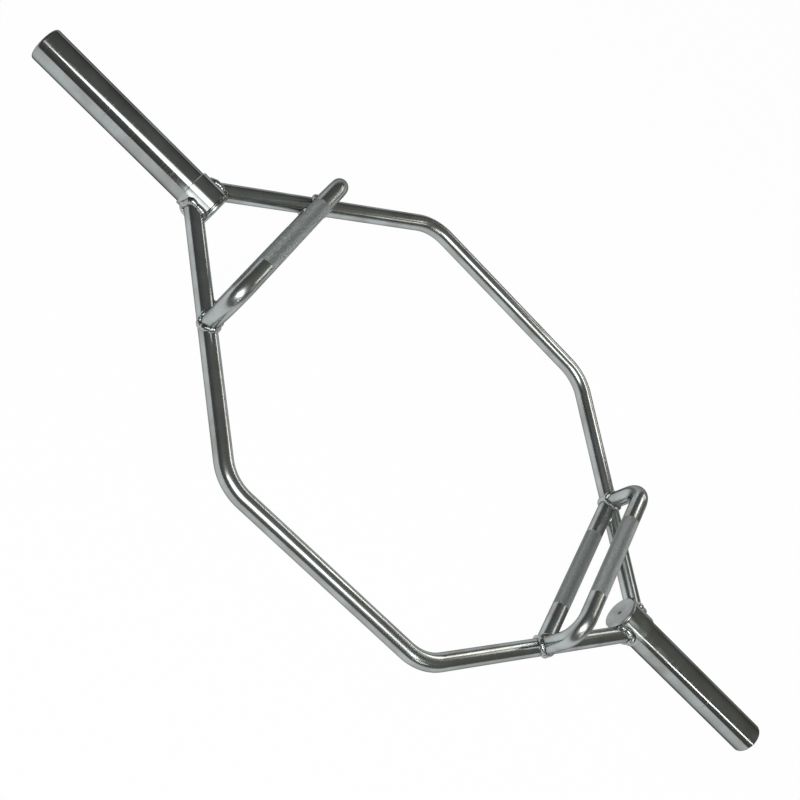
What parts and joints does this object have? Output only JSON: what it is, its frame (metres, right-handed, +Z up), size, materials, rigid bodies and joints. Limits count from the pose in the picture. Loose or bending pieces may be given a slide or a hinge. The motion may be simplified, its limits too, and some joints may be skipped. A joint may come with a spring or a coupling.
{
  "type": "hex trap bar",
  "caption": "Chrome-plated hexagonal lifting bar that the lifter stands inside, with plate-loading sleeves on its long axis and low and raised knurled handles.",
  "frame": {"origin": "on the floor plane below the middle of the hexagon, where the collars rest", "axes": "+X along the sleeves to the right-hand end, +Y to the rear side bar, +Z up, the way the raised handles stand"},
  "size_m": [1.4222, 0.6174, 0.1173],
  "materials": {
    "chrome_frame": "bright chrome plate on drawn round bar",
    "chrome_sleeve": "chrome plate with fine rings of wear where plates slide",
    "chrome_hub": "bright chrome plate on turned steel",
    "chrome_handle": "chrome plate, diamond knurled over the grip",
    "chrome_weld": "chrome plate over rippled weld bead"
  },
  "bodies": {
    "root": {"front_side_bar": "chrome_frame", "rear_side_bar": "chrome_frame", "left_sleeve": "chrome_sleeve", "left_sleeve_cap": "chrome_sleeve", "left_collar": "chrome_hub", "left_hub_plate": "chrome_hub", "left_low_handle": "chrome_handle", "left_high_handle": "chrome_handle", "left_hub_weld": "chrome_weld", "left_cap_weld": "chrome_weld", "left_front_collar_weld": "chrome_weld", "left_front_low_handle_weld": "chrome_weld", "left_front_high_handle_weld": "chrome_weld", "left_rear_collar_weld": "chrome_weld", "left_rear_low_handle_weld": "chrome_weld", "left_rear_high_handle_weld": "chrome_weld", "right_sleeve": "chrome_sleeve", "right_sleeve_cap": "chrome_sleeve", "right_collar": "chrome_hub", "right_hub_plate": "chrome_hub", "right_low_handle": "chrome_handle", "right_high_handle": "chrome_handle", "right_hub_weld": "chrome_weld", "right_cap_weld": "chrome_weld", "right_front_collar_weld": "chrome_weld", "right_front_low_handle_weld": "chrome_weld", "right_front_high_handle_weld": "chrome_weld", "right_rear_collar_weld": "chrome_weld", "right_rear_low_handle_weld": "chrome_weld", "right_rear_high_handle_weld": "chrome_weld"}
  },
  "joints": []
}
